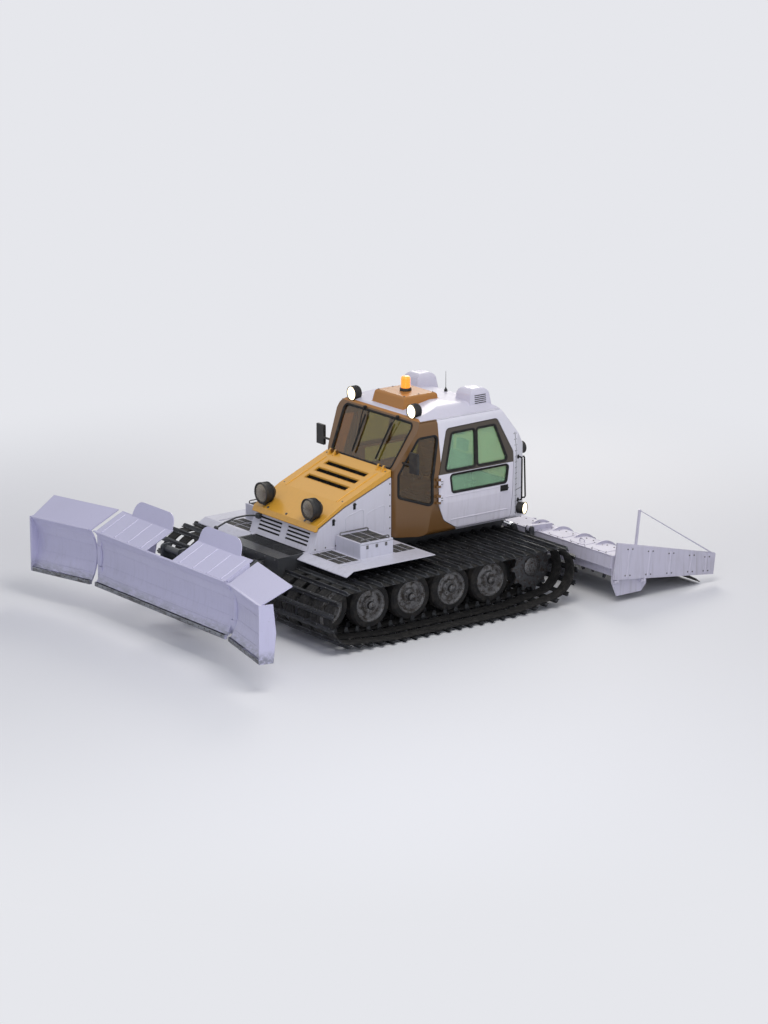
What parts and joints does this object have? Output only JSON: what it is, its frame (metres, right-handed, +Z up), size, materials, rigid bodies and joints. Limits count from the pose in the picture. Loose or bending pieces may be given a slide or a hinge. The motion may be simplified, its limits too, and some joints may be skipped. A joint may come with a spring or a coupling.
{
  "type": "snowcat groomer",
  "caption": "Tracked snow groomer with a hollow cab over the rear half of its tracks, an engine hood ahead of it, a folding-wing front blade and a rear snow tiller with finishers.",
  "frame": {"origin": "on the ground, at the middle of the whole machine's length and width", "axes": "+X forward, toward the blade; +Y to the driver's left; +Z up"},
  "size_m": [8.2986, 5.8106, 3.1303],
  "materials": {
    "white_paint": "gloss",
    "amber_paint": "gloss",
    "dark_steel": "satin",
    "rubber": "matte",
    "tyre": "matte",
    "cast": "satin",
    "glass": "clear",
    "lamp": "frosted",
    "amber_lens": "gloss",
    "black_plastic": "matte",
    "seat_cloth": "woven",
    "chrome": "polished",
    "steel": "worn",
    "grey_panel": "satin",
    "mat_rubber": "matte"
  },
  "bodies": {
    "chassis": {"tub": "dark_steel", "engine": "cast", "track_left": "rubber", "track_right": "rubber", "wheels_left": "tyre", "wheels_right": "tyre", "sprockets": "cast", "axles": "dark_steel", "fenders": "white_paint", "front_beam": "dark_steel", "rear_beam": "dark_steel", "cab_shell": "white_paint", "cab_roof": "white_paint", "cab_glass": "glass", "seats": "seat_cloth", "dash": "black_plastic", "hood_sides": "white_paint", "roof_lamps": "lamp", "beacon": "amber_lens", "rear_lamps": "lamp", "mirrors": "black_plastic"},
    "hood": {"hood": "amber_paint", "headlamps": "black_plastic"},
    "door_left": {"door_left": "white_paint", "door_glass_left": "glass"},
    "door_right": {"door_right": "white_paint", "door_glass_right": "glass"},
    "push_frame": {"push_frame": "dark_steel"},
    "lift_barrels": {"lift_barrels": "dark_steel"},
    "lift_rods": {"lift_rods": "chrome"},
    "blade_head": {"blade_head": "dark_steel"},
    "blade": {"blade_board": "white_paint", "blade_gear": "dark_steel"},
    "wing_left": {"wing_left": "white_paint"},
    "wing_right": {"wing_right": "white_paint"},
    "tiller_frame": {"tiller_frame": "dark_steel"},
    "tiller_barrels": {"tiller_barrels": "dark_steel"},
    "tiller_rods": {"tiller_rods": "chrome"},
    "tiller": {"tiller_housing": "grey_panel"},
    "cutter": {"cutter": "steel"},
    "finisher_mat": {"finisher_mat": "mat_rubber"},
    "side_finisher_left": {"side_finisher_left": "grey_panel"},
    "side_finisher_right": {"side_finisher_right": "grey_panel"}
  },
  "joints": [
    {"name": "hood_hinge", "type": "hinge", "parent": "chassis", "child": "hood", "pos_m": [0.47144, 0, 2.062], "axis": [0, -1, 0], "range_deg": [0, 55]},
    {"name": "door_left_hinge", "type": "hinge", "parent": "chassis", "child": "door_left", "pos_m": [-0.17456, 1.062, 1.5], "axis": [0, 0, -1], "range_deg": [0, 75]},
    {"name": "door_right_hinge", "type": "hinge", "parent": "chassis", "child": "door_right", "pos_m": [-0.17456, -1.062, 1.5], "axis": [0, 0, 1], "range_deg": [0, 75]},
    {"name": "blade_lift", "type": "hinge", "parent": "chassis", "child": "push_frame", "pos_m": [2.36244, 0, 0.52], "axis": [0, -1, 0], "range_deg": [-11, 22]},
    {"name": "lift_barrel_swing", "type": "hinge", "parent": "chassis", "child": "lift_barrels", "pos_m": [2.36744, 0, 0.9], "axis": [0, -1, 0], "range_deg": [-8.97, 17.89]},
    {"name": "lift_rod_slide", "type": "slide", "parent": "lift_barrels", "child": "lift_rods", "axis": [0.9226, 0, -0.3858], "range_m": [-0.14011, 0.07056]},
    {"name": "blade_angle", "type": "hinge", "parent": "push_frame", "child": "blade_head", "pos_m": [3.07744, 0, 0.67], "axis": [0, 0, 1], "range_deg": [-20, 20]},
    {"name": "blade_tilt", "type": "hinge", "parent": "blade_head", "child": "blade", "pos_m": [3.26744, 0, 0.67], "axis": [1, 0, 0], "range_deg": [-6, 6]},
    {"name": "wing_left_hinge", "type": "hinge", "parent": "blade", "child": "wing_left", "pos_m": [3.70744, 1.66, 0.82], "axis": [0, 0, -1], "range_deg": [-14, 31]},
    {"name": "wing_right_hinge", "type": "hinge", "parent": "blade", "child": "wing_right", "pos_m": [3.70744, -1.66, 0.82], "axis": [0, 0, 1], "range_deg": [-14, 31]},
    {"name": "tiller_lift", "type": "hinge", "parent": "chassis", "child": "tiller_frame", "pos_m": [-1.70756, 0, 0.56], "axis": [0, 1, 0], "range_deg": [0, 24]},
    {"name": "tiller_barrel_swing", "type": "hinge", "parent": "chassis", "child": "tiller_barrels", "pos_m": [-1.70756, 0, 0.92], "axis": [0, -1, 0], "range_deg": [-17.85, 0.05]},
    {"name": "tiller_rod_slide", "type": "slide", "parent": "tiller_barrels", "child": "tiller_rods", "axis": [-0.8965, 0, -0.4431], "range_m": [-0.1424, 0.001]},
    {"name": "tiller_pitch", "type": "hinge", "parent": "tiller_frame", "child": "tiller", "pos_m": [-2.14256, 0, 0.75], "axis": [0, 1, 0], "range_deg": [0, 8]},
    {"name": "cutter_spin", "type": "hinge", "parent": "tiller", "child": "cutter", "pos_m": [-2.58256, 0, 0.42], "axis": [0, 1, 0], "continuous": true},
    {"name": "mat_hinge", "type": "hinge", "parent": "tiller", "child": "finisher_mat", "pos_m": [-2.92256, 0, 0.56], "axis": [0, 1, 0], "range_deg": [0, 20]},
    {"name": "side_finisher_left_hinge", "type": "hinge", "parent": "tiller", "child": "side_finisher_left", "pos_m": [-2.22256, 2.41, 0.33], "axis": [0.9925, 0, 0.1219], "range_deg": [-90, 0]},
    {"name": "side_finisher_right_hinge", "type": "hinge", "parent": "tiller", "child": "side_finisher_right", "pos_m": [-2.22256, -2.41, 0.33], "axis": [-0.9925, 0, -0.1219], "range_deg": [-90, 0]}
  ],
  "couplings": [
    {"joint": "lift_barrel_swing", "follows": "blade_lift", "ratio": 0.79513},
    {"joint": "lift_rod_slide", "follows": "blade_lift", "m_per_rad": -0.36229},
    {"joint": "tiller_barrel_swing", "follows": "tiller_lift", "ratio": -0.727},
    {"joint": "tiller_rod_slide", "follows": "tiller_lift", "m_per_rad": -0.33757}
  ]
}
